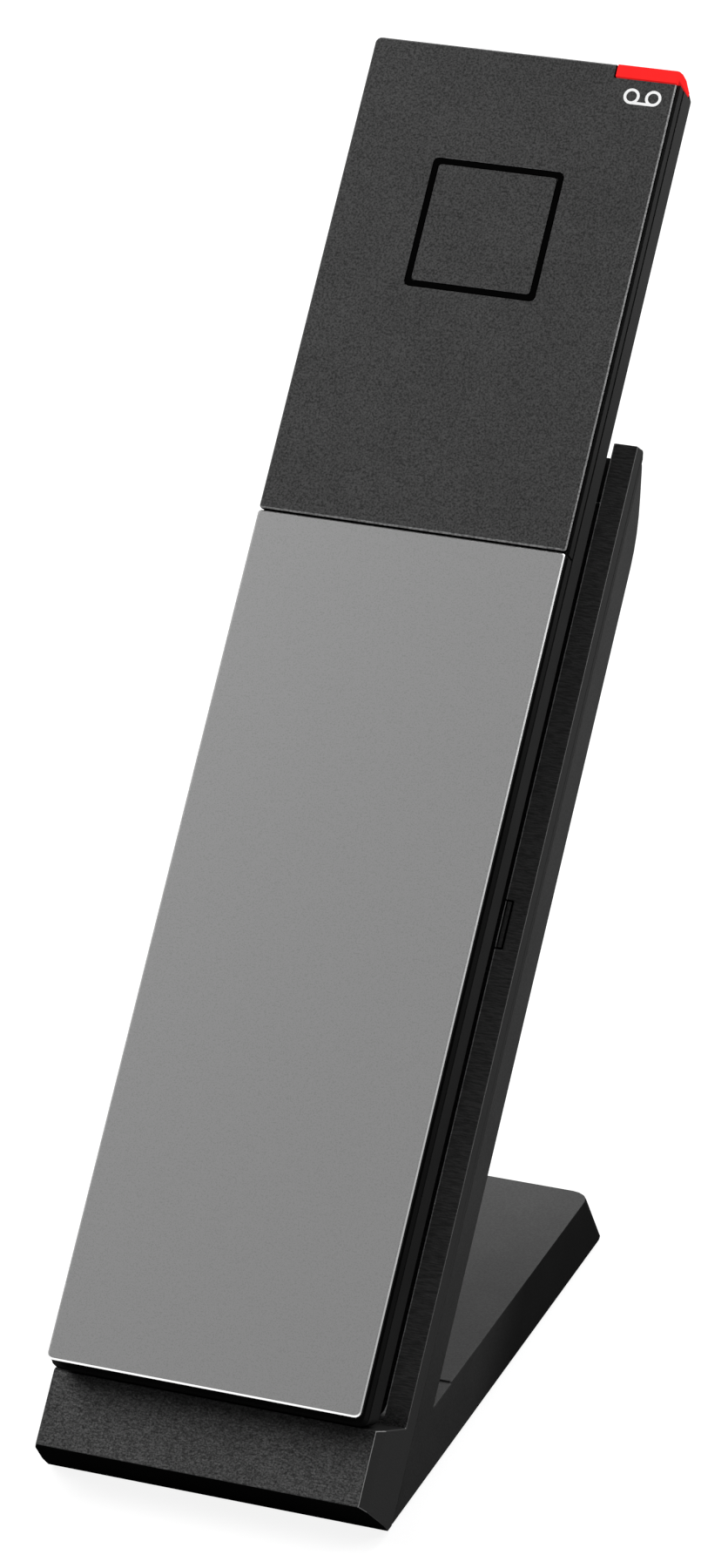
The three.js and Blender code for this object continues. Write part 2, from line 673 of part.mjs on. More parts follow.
// Depth stack from the key side inwards: face wall, key flange, mat and board.
const faceInner = HANDSET.thickness - HANDSET.faceWall;
const flangeFront = () => faceInner - SEAT - KEY_FLANGE.depth;
const matBack = () => flangeFront() - KEY.travel - SEAT - MAT.dome;
const boardBack = () => matBack() - MAT.thickness - BOARD.rise;
const boardFront = () => boardBack() - BOARD.thickness;
const bayFloor = () => boardFront() - SEAT - BAY.floor;
const bayHalf = () => CELL.radius * CELL.count + 2 * SEAT;
const bayHigh = () => BAY.low + CELL.length + BAY.spare;

// The rim stands behind the shadow line, round a land that carries the panels.
function backShell() {
  const { wall } = HANDSET;
  const edge = SHELL.parting - PARTING / 2;
  const rim = loftY([rimFront, (rimFront + edge) / 2, edge].map(crownedStation));
  const land = slabY(insetOutline(GROOVE.depth), faceBack, rimFront + wall);
  const hollows = [
    slabY(insetOutline(GROOVE.depth + wall), faceBack + wall, edge),
    slabY(insetOutline(wall), rimFront + wall, edge + wall),
  ];
  const tray = cut(rim.add(land), ...hollows);
  const tub = slabY(bayOutline(BAY.wall), faceBack, bayFloor() + BAY.floor);
  const bay = slabY(bayOutline(0), faceBack - SEAT, bayFloor());
  const postRadius = SCREW.head + SCREW.postWall;
  const posts = handsetScrewPlaces().map(([x, z]) => rodY(postRadius, faceBack, edge, x, z));
  const holes = handsetScrewPlaces().map(([x, z]) =>
    join(
      rodY(SCREW.head + SEAT, faceBack - SEAT, screwSeat(), x, z),
      rodY(SCREW.shaft + SEAT, faceBack, edge + SEAT, x, z),
    ),
  );
  return cut(join(tray, tub, ...posts), bay, ...holes, ...seamNotches(), lensSpace(PARTING));
}

function insetOutline(inset) {
  const ends = { low: inset, high: HANDSET.length - inset, lowCorner: EDGE };
  return polygon(ringPoints({ half: handsetHalf - inset, ...ends, steps: FINE_STEPS }));
}

// The seam between the panels runs on round the shell's sides as a fine groove.
function seamNotches() {
  const low = PANEL.seamHeight - PANEL.seam / 2;
  const high = low + PANEL.seam;
  const reach = handsetHalf + SEAM_NOTCH;
  return [[-reach, SEAM_NOTCH - handsetHalf], [handsetHalf - SEAM_NOTCH, reach]].map(([left, right]) =>
    block([left, faceBack, low], [right, SHELL.parting, high]),
  );
}

const screwSeat = () => faceBack + SCREW.headDepth + SEAT;
const headFront = () => screwSeat() - SCREW.headDepth - SEAT / 2;
const bayOutline = (grow) =>
  roundedRect(-bayHalf() - grow, bayHalf() + grow, BAY.low - grow, bayHigh() + grow, EDGE, FINE_STEPS);

function handsetScrewPlaces() {
  const x = handsetHalf - HANDSET_SCREWS.inset;
  const heights = [HANDSET_SCREWS.low, PANEL.seamHeight - HANDSET_SCREWS.underSeam];
  return heights.flatMap((z) => [-1, 1].map((side) => [side * x, z]));
}

// The key-side shell draws in from its widest place to the key face, its top end rolls over
// and its lower end follows the cradle's shelf. Each station is a depth, and the last two
// chamfer the face's edge. With an inset, the same form is the shell's inner face.
function keySideStations(inset) {
  const { length, thickness, faceWall } = HANDSET;
  const start = SHELL.parting + PARTING / 2;
  const faceShare = inset ? faceWall / (thickness - start) : 0;
  const station = (depth, chamfer = 0) => {
    const behind = Math.max(depth - SHELL.side, 0);
    const low = depth < LIP.front ? -crownAt(depth) : shelfAt(depth) + SEAT;
    const corner = (radius) => Math.max(radius + FLANK_CORNER * behind - inset, EDGE);
    return {
      y: depth - (depth - start) * faceShare,
      half: handsetHalf - FLANK.slope * behind - chamfer - inset,
      low: low + chamfer + inset,
      high: length + crownAt(depth) - FLANK.topCurve * behind ** 2 - chamfer - inset,
      lowCorner: corner(SHELL.corner),
      highCorner: corner(SHELL.topCorner),
    };
  };
  const waist = (SHELL.side + railFront) / 2;
  return [
    ...[start, LIP.front - SEAT, SHELL.side, waist, railFront].map((depth) => station(depth)),
    station(thickness - FLANK.edge, FLANK.edgeInset),
    station(thickness, FLANK.faceInset),
  ];
}

function keyShell() {
  const { wall, thickness } = HANDSET;
  const outer = loftY(keySideStations(0));
  const stations = keySideStations(wall);
  const mouth = { ...stations[0], y: stations[0].y - wall };
  const inner = loftY([mouth, ...stations]);
  const postFront = SHELL.parting + PARTING / 2 + SEAT;
  const pilotEnd = screwSeat() + HANDSET_SCREWS.length + SEAT;
  const postRadius = SCREW.shaft + SEAT + SCREW.postWall;
  const posts = handsetScrewPlaces().map(([x, z]) =>
    rodY(postRadius, postFront, faceInner + SINK, x, z).intersect(outer),
  );
  const pilots = handsetScrewPlaces().map(([x, z]) =>
    rodY(SCREW.shaft + SEAT, SHELL.parting, pilotEnd, x, z),
  );
  const through = [faceInner - SEAT, thickness + SEAT];
  const contactHole = (side) =>
    rodY(CONTACT.radius + SEAT, ...through, side * CONTACT.spread, CONTACT.height);
  const openings = [
    ...KEYS.map(({ x, z }) => slabY(keyOutline(x, z, SEAT), ...through)),
    ...grille(RECEIVER).map((slot) => slabY(slot, ...through)),
    ...grille(RINGER).map((slot) => slabY(slot, ...through)),
    rodY(MICROPHONE.hole, ...through, 0, MICROPHONE.height, 2 * CURVE_STEPS),
    contactHole(-1),
    contactHole(1),
  ];
  return cut(join(outer.subtract(inner), ...posts), ...pilots, ...openings, lensSpace(PARTING));
}

// Slots in front of a capsule, their lengths following its circle.
function grille({ radius, fromTop, slots }) {
  const middle = HANDSET.length - fromTop;
  const circle = radius - GRILLE.slot;
  const half = GRILLE.slot / 2;
  return Array.from({ length: slots }, (_, i) => {
    const x = ((i - (slots - 1) / 2) * 2 * circle) / slots;
    const reach = Math.sqrt(circle * circle - x * x) * GRILLE.share;
    return roundedRect(x - half, x + half, middle - reach, middle + reach, EDGE, FINE_STEPS);
  });
}

// ---- keys ----
// Seen from the key side, +X is on the left.
const upperRow = KEYPAD.topDialRow + KEYPAD.bankGap;
const lowerRow = KEYPAD.topDialRow - 3 * KEYPAD.rowPitch - KEYPAD.bankGap;
const KEYS = keyPlaces();

function keyPlaces() {
  const row = (names, z) => names.map((name, column) => ({ name, x: (1 - column) * KEYPAD.columnPitch, z }));
  const dialRow = (names, index) => row(names, KEYPAD.topDialRow - index * KEYPAD.rowPitch);
  return [
    ...row(["key_talk", "key_message", "key_off"], upperRow),
    ...dialRow(["key_1", "key_2", "key_3"], 0),
    ...dialRow(["key_4", "key_5", "key_6"], 1),
    ...dialRow(["key_7", "key_8", "key_9"], 2),
    ...dialRow(["key_star", "key_0", "key_hash"], 3),
    ...row(["key_volume_down", "key_mute", "key_volume_up"], lowerRow),
  ];
}

function keyOutline(x, z, grow) {
  const w = KEY.width / 2 + grow;
  const h = KEY.height / 2 + grow;
  return roundedRect(x - w, x + w, z - h, z + h, KEY.corner + grow, SMALL_STEPS);
}

// A key cap with a domed top, and the flange that keeps it behind the shell.
function keyCap({ x, z }) {
  const { shoulder, shoulderInset, crown, crownInset } = KEY_TOP;
  const top = HANDSET.thickness + KEY.proud;
  const station = (y, inset) => ({
    y,
    half: KEY.width / 2 - inset,
    low: -KEY.height / 2 + inset,
    high: KEY.height / 2 - inset,
    lowCorner: KEY.corner - inset,
    steps: SMALL_STEPS,
  });
  const cap = loftY([
    station(flangeFront(), 0),
    station(top - shoulder, 0),
    station(top - crown, shoulderInset),
    station(top, crownInset),
  ]);
  const flange = slabY(keyOutline(0, 0, KEY_FLANGE.width), flangeFront(), flangeFront() + KEY_FLANGE.depth);
  return solid(geometryOf(cap.add(flange)).translate(x, 0, z));
}

// ---- inside the handset ----
function keypadMat() {
  const half = handsetHalf - BOARD.inset;
  const low = lowerRow - KEY.height;
  const high = upperRow + KEY.height;
  const base = matBack() - MAT.thickness;
  const tip = matBack() + MAT.dome;
  const sheet = slabY(roundedRect(-half, half, low, high, BOARD.corner), base, matBack());
  const profile = [[0, base + SINK], [MAT.domeRadius, base + SINK], [MAT.domeRadius, matBack()], [0, tip]];
  return join(sheet, ...KEYS.map(({ x, z }) => turnedY(profile, x, z, 2 * CURVE_STEPS)));
}

function mainBoard() {
  const half = handsetHalf - BOARD.inset;
  const front = boardFront();
  const high = HANDSET.length - BOARD.fromTop;
  const shieldHalf = half - SHIELD.inset;
  const chipHalf = CHIP.width / 2;
  const opening = ({ radius, fromTop }) =>
    rodY(radius + SEAT, front - SEAT, boardBack() + SEAT, 0, HANDSET.length - fromTop);
  const board = join(
    slabY(roundedRect(-half, half, BOARD.low, high, BOARD.corner), front, boardBack()),
    block([-shieldHalf, front - SHIELD.height, SHIELD.low], [shieldHalf, front + SINK, SHIELD.high]),
    block([-chipHalf, front - CHIP.height, CHIP.low], [chipHalf, front + SINK, CHIP.high]),
  );
  return cut(board, opening(RECEIVER), opening(RINGER));
}

// Round cells side by side in one shrink sleeve.
function batteryPack() {
  const y = BAY.cellTop + CELL.radius;
  const low = BAY.low + BAY.spare / 2;
  const cells = Array.from({ length: CELL.count }, (_, i) => {
    const x = (i - (CELL.count - 1) / 2) * 2 * CELL.radius;
    return rodZ(CELL.radius, low, low + CELL.length, x, y);
  });
  const reach = CELL.radius * (CELL.count - 1);
  const web = CELL.radius * CELL.webShare;
  return join(block([-reach, y - web, low], [reach, y + web, low + CELL.length]), ...cells);
}

// A speaker capsule: magnet, basket and front rim, facing the key side.
function capsule({ radius, depth, fromTop }) {
  const back = faceInner - SEAT;
  const { magnet, rim, dish } = CAPSULE;
  const profile = [
    [0, back - depth],
    [radius * magnet, back - depth],
    [radius * magnet, back - depth / 2],
    [radius, back - depth / 3],
    [radius, back],
    [radius * rim, back],
    [radius * rim, back - dish],
    [0, back - dish],
  ];
  return turnedY(profile, 0, HANDSET.length - fromTop);
}

function microphone() {
  const back = faceInner - SEAT;
  const { radius, depth, height } = MICROPHONE;
  return rodY(radius, back - depth, back, 0, height, 2 * CURVE_STEPS);
}

// A round contact seated in the key-side shell, with a flange behind the wall.
function handsetContact(side) {
  const { radius, flange, depth, chamfer, spread, height } = CONTACT;
  const front = HANDSET.thickness;
  const wallBack = faceInner - SEAT;
  const profile = [
    [0, wallBack - depth],
    [radius + flange, wallBack - depth],
    [radius + flange, wallBack],
    [radius, wallBack],
    [radius, front - chamfer],
    [radius - chamfer, front],
    [0, front],
  ];
  return turnedY(profile, side * spread, height);
}

function lampLed() {
  const x = guideLeft + LENS.guideWidth / 2;
  const z = guideLow + LENS.guideWidth / 2;
  const back = boardFront() - SEAT / 2;
  const [w, h] = [LED.width / 2, LED.height / 2];
  return block([x - w, back - LED.depth, z - h], [x + w, back, z + h]);
}

// ---- materials and assembly ----
const finish = (colour, roughness, metalness = 0) =>
  new THREE.MeshStandardMaterial({ color: colour, roughness, metalness });
const FINISHES = {
  cradle: () => finish(0x38383a, 0.62),
  shell: () => finish(0x2e2e30, 0.5),
  upper: () => finish(0x3b3b3d, 0.7),
  plate: () => finish(0x8d8d8e, 0.42, 0.35),
  ring: () => finish(0x050505, 0.3),
  lens: () => finish(0xff2a26, 0.3),
  key: () => finish(0x4a4a4d, 0.55),
  rubber: () => finish(0x1b1b1c, 0.9),
  board: () => finish(0x1f5a36, 0.55),
  steel: () => finish(0xa8a9ab, 0.35, 0.9),
  brass: () => finish(0xc9a14a, 0.3, 0.9),
  sleeve: () => finish(0x2f6fa8, 0.45),
  capsule: () => finish(0x5b5c5f, 0.5, 0.3),
};

function piece(name, body, look) {
  const mesh = new THREE.Mesh(geometryOf(body), FINISHES[look]());
  mesh.name = name;
  return mesh;
}

// The handset, in the plate frame.
function handset() {
  const group = new THREE.Group();
  group.add(
    piece("upper_panel", upperPanel(), "upper"),
    piece("battery_cover", batteryCover(), "plate"),
    piece("square_ring", squareRing(), "ring"),
    piece("message_lamp_lens", lampLens(), "lens"),
    piece("handset_back_shell", backShell(), "shell"),
    piece("handset_key_shell", keyShell(), "shell"),
    piece("battery_pack", batteryPack(), "sleeve"),
    piece("main_board", mainBoard(), "board"),
    piece("keypad_mat", keypadMat(), "rubber"),
    piece("receiver", capsule(RECEIVER), "capsule"),
    piece("ringer", capsule(RINGER), "capsule"),
    piece("microphone", microphone(), "capsule"),
    piece("lamp_led", lampLed(), "lens"),
    piece("handset_contact_left", handsetContact(-1), "brass"),
    piece("handset_contact_right", handsetContact(1), "brass"),
    ...KEYS.map((key) => piece(key.name, keyCap(key), "key")),
    ...handsetScrewPlaces().map(([x, z], i) =>
      piece(`handset_screw_${i + 1}`, screw(turnedY, headFront(), HANDSET_SCREWS.length, x, z), "steel"),
    ),
  );
  return group;
}

// The cradle's pieces that lie along the plate, in the plate frame.
function plateParts() {
  const group = new THREE.Group();
  group.add(
    piece("retention_pad_left", retentionPad(-1), "rubber"),
    piece("retention_pad_right", retentionPad(1), "rubber"),
    piece("rest_strip_lower", restStrip(stripHeights()[0]), "rubber"),
    piece("rest_strip_upper", restStrip(stripHeights()[1]), "rubber"),
    piece("contact_block", contactBlock(), "shell"),
    piece("charging_pin_left", chargingPin(-1), "brass"),
    piece("charging_pin_right", chargingPin(1), "brass"),
  );
  return group;
}

function cradle() {
  const group = new THREE.Group();
  group.add(
    piece("cradle_front", cradleFront(), "cradle"),
    piece("cradle_rear", cradleRear(), "cradle"),
    piece("bottom_cover", bottomCover(), "cradle"),
    piece("ballast", ballast(), "steel"),
    piece("charging_board", chargingBoard(), "board"),
    piece("inlet_jack", inletJack(), "shell"),
    ...rubberPlaces().map((place, i) => piece(`rubber_foot_${i + 1}`, rubberFoot(place), "rubber")),
    ...baseScrewPlaces().map(([x, y], i) =>
      piece(`base_screw_${i + 1}`, screw(turnedZ, ground, BASE_SCREWS.length, x, y), "steel"),
    ),
  );
  return group;
}

const leaning = new THREE.Group();
leaning.add(handset(), plateParts());
leaning.applyMatrix4(PLATE);

// The frame's origin is the bottom centre of the whole object, on the surface.
const phone = new THREE.Group();
phone.add(cradle(), leaning);
const bounds = new THREE.Box3().setFromObject(phone, true);
phone.position.set(0, -(bounds.min.y + bounds.max.y) / 2, 0);

export default phone;
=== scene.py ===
"""Looks of a slim cordless handset that leans in its charging cradle.

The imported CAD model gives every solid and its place. This script gives the solids their
moulded edges and finishes, prints the marks on the handset and its keys, and sets up the
floor, the lamps and the camera. Lengths are in metres.
"""

import json
import math

import bmesh
import bpy
from mathutils import Matrix, Vector


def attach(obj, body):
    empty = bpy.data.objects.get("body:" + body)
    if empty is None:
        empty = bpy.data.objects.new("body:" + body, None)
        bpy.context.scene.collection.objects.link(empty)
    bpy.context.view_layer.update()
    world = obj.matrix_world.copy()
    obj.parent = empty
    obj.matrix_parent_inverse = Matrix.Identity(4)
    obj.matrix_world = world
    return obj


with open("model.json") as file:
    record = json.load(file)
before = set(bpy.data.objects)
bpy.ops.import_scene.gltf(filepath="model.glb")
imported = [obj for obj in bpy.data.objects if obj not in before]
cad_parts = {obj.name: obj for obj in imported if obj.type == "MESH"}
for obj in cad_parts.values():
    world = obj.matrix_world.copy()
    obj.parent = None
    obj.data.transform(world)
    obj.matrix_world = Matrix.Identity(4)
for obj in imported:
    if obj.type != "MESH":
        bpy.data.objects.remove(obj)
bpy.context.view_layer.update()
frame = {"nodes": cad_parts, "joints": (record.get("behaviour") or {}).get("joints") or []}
NODES = frame["nodes"]
MM = 0.001

# ---- the plate's own directions, from the joint that lifts the handset off it ----
LIFT = next(joint for joint in frame["joints"] if joint["name"] == "handset_lift")
OUT = Vector(LIFT["axis"]).normalized()  # out of the handset's face
UP = Vector((0.0, OUT.z, -OUT.y))  # along the handset, towards its top
RIGHT = Vector((1.0, 0.0, 0.0))
ABOVE = Vector((0.0, 0.0, 1.0))


def reach(node, direction):
    """Lowest and highest place of a CAD node along a direction."""
    places = [vertex.co.dot(direction) for vertex in NODES[node].data.vertices]
    return min(places), max(places)


# Where the handset's face and its lower end lie along these directions, and its length.
FACE = reach("battery_cover", OUT)[1]
FOOT_END = reach("battery_cover", UP)[0]
LENGTH = reach("upper_panel", UP)[1] - FOOT_END


def on_face(x, height):
    """A point of the handset's face, across and up from the middle of its lower edge."""
    return RIGHT * x + UP * (FOOT_END + height) + OUT * FACE


# ---- node materials ----
NOISE_RANGE = (0.3, 0.7)  # most values of a noise lie between these


class Finish:
    """A material being built: its shader, and helpers that each add a few nodes."""

    def __init__(self, name):
        self.material = bpy.data.materials.new(name)
        self.material.use_nodes = True
        self.tree = self.material.node_tree
        self.shader = self.tree.nodes["Principled BSDF"]

    def node(self, kind, **settings):
        made = self.tree.nodes.new(kind)
        for key, value in settings.items():
            if key in made.inputs:
                made.inputs[key].default_value = value
            else:
                setattr(made, key, value)
        return made

    def feed(self, socket, value):
        """A socket's value, either a link or a plain number or colour."""
        if isinstance(value, bpy.types.NodeSocket):
            self.tree.links.new(value, socket)
        else:
            socket.default_value = value

    def set(self, **values):
        for key, value in values.items():
            self.shader.inputs[key.replace("_", " ")].default_value = value

    def calculate(self, operation, first, second=0.0):
        made = self.node("ShaderNodeMath", operation=operation)
        self.feed(made.inputs[0], first)
        self.feed(made.inputs[1], second)
        return made.outputs[0]

    def times(self, first, *others):
        for other in others:
            first = self.calculate("MULTIPLY", first, other)
        return first

    def ramp(self, value, start, end, low=0.0, high=1.0):
        """Smoothly from low, where the value is at start, to high, where it is at end."""
        made = self.node("ShaderNodeMapRange", interpolation_type="SMOOTHSTEP")
        numbers = {
            "Value": value,
            "From Min": start,
            "From Max": end,
            "To Min": low,
            "To Max": high,
        }
        for key, number in numbers.items():
            self.feed(made.inputs[key], number)
        return made.outputs["Result"]

    def only_where(self, mask, factor):
        """A factor where a mask is 1, and 1 where the mask is 0."""
        change = self.times(self.calculate("SUBTRACT", factor, 1.0), mask)
        return self.calculate("ADD", 1.0, change)

    def place(self, stretch=None):
        """The point on the piece, or the same stretched by a scale along each axis."""
        point = self.node("ShaderNodeTexCoord").outputs["Object"]
        if stretch is None:
            return point
        mapping = self.node("ShaderNodeMapping")
        mapping.inputs["Scale"].default_value = stretch
        self.tree.links.new(point, mapping.inputs["Vector"])
        return mapping.outputs["Vector"]

    def along(self, direction, source="Object"):
        """How far the point, or its normal, goes along a direction."""
        made = self.node("ShaderNodeVectorMath", operation="DOT_PRODUCT")
        self.tree.links.new(self.node("ShaderNodeTexCoord").outputs[source], made.inputs[0])
        made.inputs[1].default_value = direction
        return made.outputs["Value"]

    def facing(self, direction):
        """How much the surface faces a direction, from 0 to 1."""
        return self.calculate("MAXIMUM", self.along(direction, "Normal"))

    def aside(self, source="Object"):
        """How far the point, or its normal, goes to either side."""
        return self.calculate("ABSOLUTE", self.along(RIGHT, source))

    def height(self):
        """Height along the handset from its lower end."""
        return self.calculate("SUBTRACT", self.along(UP), FOOT_END)

    def depth(self):
        """Depth behind the handset's face."""
        return self.calculate("SUBTRACT", FACE, self.along(OUT))

    def noise(self, size, detail=2.0, roughness=0.5, stretch=None):
        """Noise whose features are about a given size."""
        made = self.node(
            "ShaderNodeTexNoise", Scale=1.0 / size, Detail=detail, Roughness=roughness
        )
        self.tree.links.new(self.place(stretch), made.inputs["Vector"])
        return made.outputs["Fac"]

    def cells(self, size, stretch=None):
        """Distance to the nearest of scattered points, for leather-like pebbles."""
        made = self.node("ShaderNodeTexVoronoi", feature="SMOOTH_F1", Scale=1.0 / size)
        self.tree.links.new(self.place(stretch), made.inputs["Vector"])
        return made.outputs["Distance"]

    def vary(self, noise, amount):
        """A factor about 1 that follows a noise."""
        return self.ramp(noise, *NOISE_RANGE, 1.0 - amount, 1.0 + amount)

    def paint(self, colour, *factors):
        """The base colour, darkened or lightened by factors that vary over the surface."""
        made = self.node("ShaderNodeVectorMath", operation="SCALE")
        made.inputs[0].default_value = colour
        self.feed(made.inputs["Scale"], self.times(*factors))
        self.feed(self.shader.inputs["Base Color"], made.outputs["Vector"])

    def rough(self, noise, low, high):
        """Roughness between two values that follows a noise."""
        self.feed(self.shader.inputs["Roughness"], self.ramp(noise, *NOISE_RANGE, low, high))

    def bump(self, height, strength, distance):
        """Relief from a noise, on top of the relief added before."""
        made = self.node("ShaderNodeBump", Strength=strength, Distance=distance)
        self.feed(made.inputs["Height"], height)
        normal = self.shader.inputs["Normal"]
        if normal.is_linked:
            self.feed(made.inputs["Normal"], normal.links[0].from_socket)
        self.feed(normal, made.outputs["Normal"])


CLOUD_SIZE = 9 * MM  # of the cloudiness that all grained plastic has
SCRATCH_SIZE = 0.3 * MM  # of the marks on metal
GRAIN_HEIGHT = 0.02 * MM
ROUGHNESS_SWING = 0.05  # how far the grain moves the roughness each way

# How far the normals of a panel's walls and of its chamfers go out of the face, at most
# and at least; and how deep the narrow painted highlight on the side chamfers begins.
WALL_OUT, CHAMFER_OUT = 0.2, 0.45
SHINE_DEPTH = 0.1 * MM

# The back shell's ledge behind the panels, its parting line and its battery bay.
LEDGE_DEPTH = 2.0 * MM
PARTING_DEPTH = 4.1 * MM
BAY_HALF_WIDTH = 24.2 * MM


def grey(level):
    return (level, level, level)


def grained(
    name,
    *,
    grain=0.25 * MM,
    mottle=0.12,
    cloud=0.04,
    relief=0.4,
    roughness=0.6,
    gloss=0.06,
):
    """Moulded plastic with a fine grain in its relief and roughness. Its tones are
    factors for the paint: the grain, and a soft cloudiness."""
    finish = Finish(name)
    finish.set(Specular_IOR_Level=gloss)
    fine = finish.noise(grain, detail=3.0, roughness=0.6)
    soft = finish.noise(CLOUD_SIZE)
    finish.tones = [finish.vary(fine, mottle), finish.vary(soft, cloud)]
    finish.rough(fine, roughness - ROUGHNESS_SWING, roughness + ROUGHNESS_SWING)
    finish.bump(fine, relief, GRAIN_HEIGHT)
    return finish


def moulded(name, level, **settings):
    """Grained plastic in a plain grey."""
    return coloured(name, grey(level), **settings)


def coloured(name, colour, **settings):
    finish = grained(name, **settings)
    finish.paint(colour, *finish.tones)
    return finish


def metal(name, colour, low, high):
    finish = Finish(name)
    finish.set(Metallic=1.0)
    noise = finish.noise(SCRATCH_SIZE)
    finish.paint(colour, finish.vary(noise, 0.08))
    finish.rough(noise, low, high)
    return finish


def polished_chamfer(finish, level, gains, wall, sheen):
    """A panel with metallic chamfers that carry painted highlights: each gain is for the
    chamfer facing a direction.

    Those at the sides get their painted highlight along a narrow line. The side walls behind
    the chamfers get painted shade, darkened by a factor, and the face has a metallic sheen."""
    out = finish.along(OUT, "Normal")
    # Painted shade on the side walls behind the chamfers.
    behind = finish.ramp(out, CHAMFER_OUT, WALL_OUT, 1.0, wall)
    ahead = finish.ramp(out, WALL_OUT, CHAMFER_OUT)
    chamfer = finish.times(finish.ramp(out, 0.97, 0.85), ahead)
    beside = finish.ramp(finish.aside("Normal"), 0.3, 0.5)
    inner = finish.ramp(finish.depth(), SHINE_DEPTH, SHINE_DEPTH / 2)
    dull = finish.times(beside, inner)
    shine = finish.times(chamfer, finish.calculate("SUBTRACT", 1.0, dull))
    # Painted highlights: each gain lightens, or darkens, the chamfer facing its direction.
    total = 1.0
    for direction, gain in gains:
        glint = finish.times(finish.facing(direction), shine, gain)
        total = finish.calculate("ADD", total, glint)
    metallic = finish.calculate("MAXIMUM", chamfer, finish.times(ahead, sheen))
    finish.feed(finish.shader.inputs["Metallic"], metallic)
    finish.paint(grey(level), *finish.tones, total, behind)


def upper_panel_finish():
    finish = grained(
        "upper_panel_grain", grain=0.3 * MM, mottle=0.5, relief=0.4, roughness=0.5, gloss=0.0
    )
    # Painted highlights on the chamfers, brightest at the lower edge, and painted shade on
    # the left one.
    gains = ((RIGHT, 2.6), (-UP, 5.0), (-RIGHT, -0.3), (UP, 0.2))
    polished_chamfer(finish, 0.038, gains, wall=0.05, sheen=0.22)
    return finish


def plate_finish():
    finish = grained(
        "grey_plate_paint",
        grain=0.2 * MM,
        mottle=0.03,
        cloud=0.0,
        relief=0.05,
        roughness=0.3,
        gloss=0.0,
    )
    # Painted highlights on the chamfers, brightest at the lower edge.
    gains = ((RIGHT, 1.2), (-UP, 5.2), (-RIGHT, 0.5), (UP, 0.9))
    polished_chamfer(finish, 0.225, gains, wall=0.1, sheen=0.18)
    return finish


def key_shell_finish():
    """Painted shade: darker towards the lower end."""
    finish = grained("key_shell", mottle=0.08, relief=0.25, roughness=0.5, gloss=0.0)
    upper = finish.ramp(finish.height(), 140 * MM, 185 * MM, 0.62, 1.0)
    lower = finish.ramp(finish.height(), 20 * MM, 110 * MM, 0.75, 1.0)
    finish.paint(grey(0.046), *finish.tones, upper, lower)
    return finish


def back_shell_finish():
    """Painted shade: black in the shadow line around the panels, but not in the battery bay,
    and darker towards the lower end. The parting line is black at the top and fades below."""
    finish = grained("back_shell", mottle=0.08, relief=0.25, roughness=0.5, gloss=0.0)
    height, depth = finish.height(), finish.depth()
    # Painted shade in the recess in front of the ledge.
    groove = finish.ramp(depth, LEDGE_DEPTH, LEDGE_DEPTH + 0.3 * MM, 0.03, 1.0)
    bay = finish.times(
        finish.ramp(finish.aside(), BAY_HALF_WIDTH, BAY_HALF_WIDTH - 0.4 * MM),
        finish.ramp(height, 1.5 * MM, 2 * MM),
        finish.ramp(height, LENGTH - 2 * MM, LENGTH - 3 * MM),
    )
    groove = finish.calculate("MAXIMUM", groove, bay)
    gap = finish.ramp(height, 90 * MM, 150 * MM, 0.8, 0.1)
    parting = finish.ramp(depth, PARTING_DEPTH, PARTING_DEPTH - 0.2 * MM, gap, 1.0)
    # Painted shade, darker towards the lower end.
    lower = finish.ramp(height, 90 * MM, 185 * MM, 0.3, 1.0)
    finish.paint(grey(0.036), *finish.tones, groove, parting, lower)
    return finish


LIP_UNDER = Vector((0.0, -0.714, -0.7))
LIP_SHELF = UP * 0.961 + OUT * 0.277
FLAT_FACES = (OUT, -OUT, UP, -UP, -ABOVE, LIP_UNDER, LIP_SHELF)  # of the cradle's front
RAIL_INNER = 23.6 * MM  # from the middle to the rails' inner faces
RAIL_DEPTH = 15.19 * MM  # of the rails' tops, behind the handset's face
LEATHER_END = (2 * MM, 6 * MM)  # heights between which the lip's leather gives way
LEATHER_HEIGHT = 0.05 * MM


def edge_mask(finish):
    """1 on the rounded edges of the cradle's front, and 0 on its flat faces."""
    flat = finish.aside("Normal")
    for direction in FLAT_FACES:
        facing = finish.along(direction.normalized(), "Normal")
        flat = finish.calculate("MAXIMUM", flat, facing)
    return finish.ramp(flat, 0.93, 0.85)


def worn_inner_edge(finish):
    """A painted highlight: the light line along the inner edge of the rails' tops."""
    start, end = RAIL_INNER + 0.22 * MM, RAIL_INNER + 0.14 * MM
    line = finish.ramp(finish.aside(), start, end, 0.0, 8.0)
    top = finish.ramp(finish.depth(), RAIL_DEPTH + 0.5 * MM, RAIL_DEPTH + 0.4 * MM)
    return finish.times(line, top)


